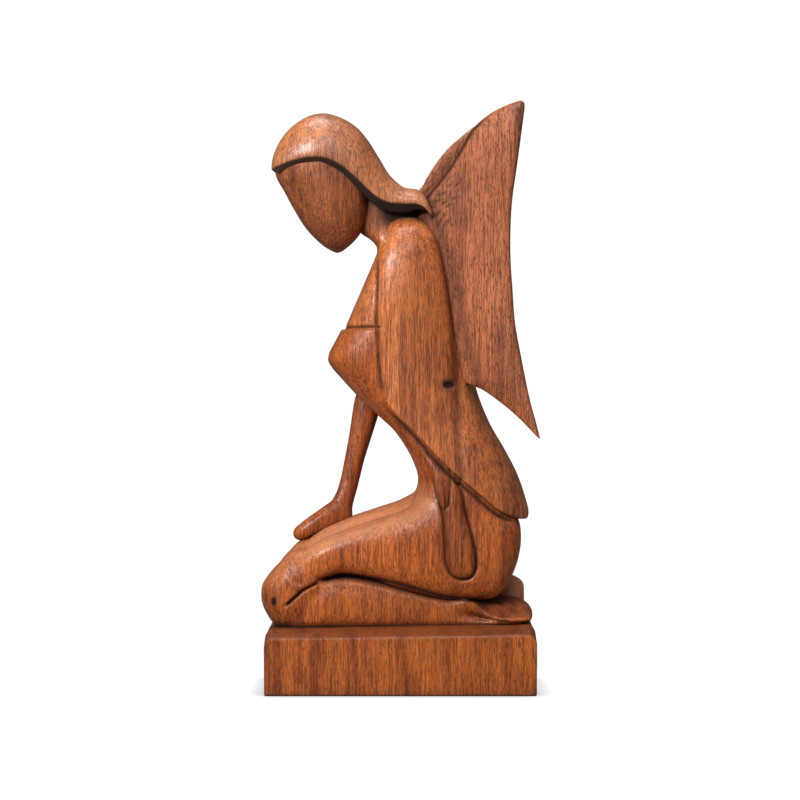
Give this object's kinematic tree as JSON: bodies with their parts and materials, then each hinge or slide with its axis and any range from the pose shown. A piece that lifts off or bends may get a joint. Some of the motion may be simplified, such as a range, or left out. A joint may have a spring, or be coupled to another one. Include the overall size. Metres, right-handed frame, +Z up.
{
  "type": "carved wooden figurine",
  "caption": "Hand-carved hardwood statuette of a kneeling winged figure with bowed, faceless head, one hand on its knee, on a rectangular base.",
  "frame": {"origin": "centre of the base block's flat underside, on the surface it stands on", "axes": "+Z up; the figure kneels and looks towards -X, its wings rise at +X, and its left side is -Y"},
  "size_m": [0.1442, 0.08, 0.3045],
  "materials": {
    "polished_wood": "satin varnished reddish-brown hardwood, fine vertical grain",
    "matte_wood": "the same hardwood with a duller, more open-grained surface on the wings"
  },
  "bodies": {
    "root": {"base_block": "polished_wood", "left_thigh": "polished_wood", "right_thigh": "polished_wood", "left_knee": "polished_wood", "right_knee": "polished_wood", "left_lower_leg": "polished_wood", "right_lower_leg": "polished_wood", "left_foot": "polished_wood", "right_foot": "polished_wood", "waist": "polished_wood", "bodice": "polished_wood", "chest": "polished_wood", "neck": "polished_wood", "face": "polished_wood", "hair": "polished_wood", "left_cape": "polished_wood", "right_cape": "polished_wood", "left_cuff_fold": "polished_wood", "left_forearm": "polished_wood", "left_hand": "polished_wood", "right_arm": "polished_wood", "right_hand": "polished_wood", "left_wing": "matte_wood", "right_wing": "matte_wood"}
  },
  "joints": []
}
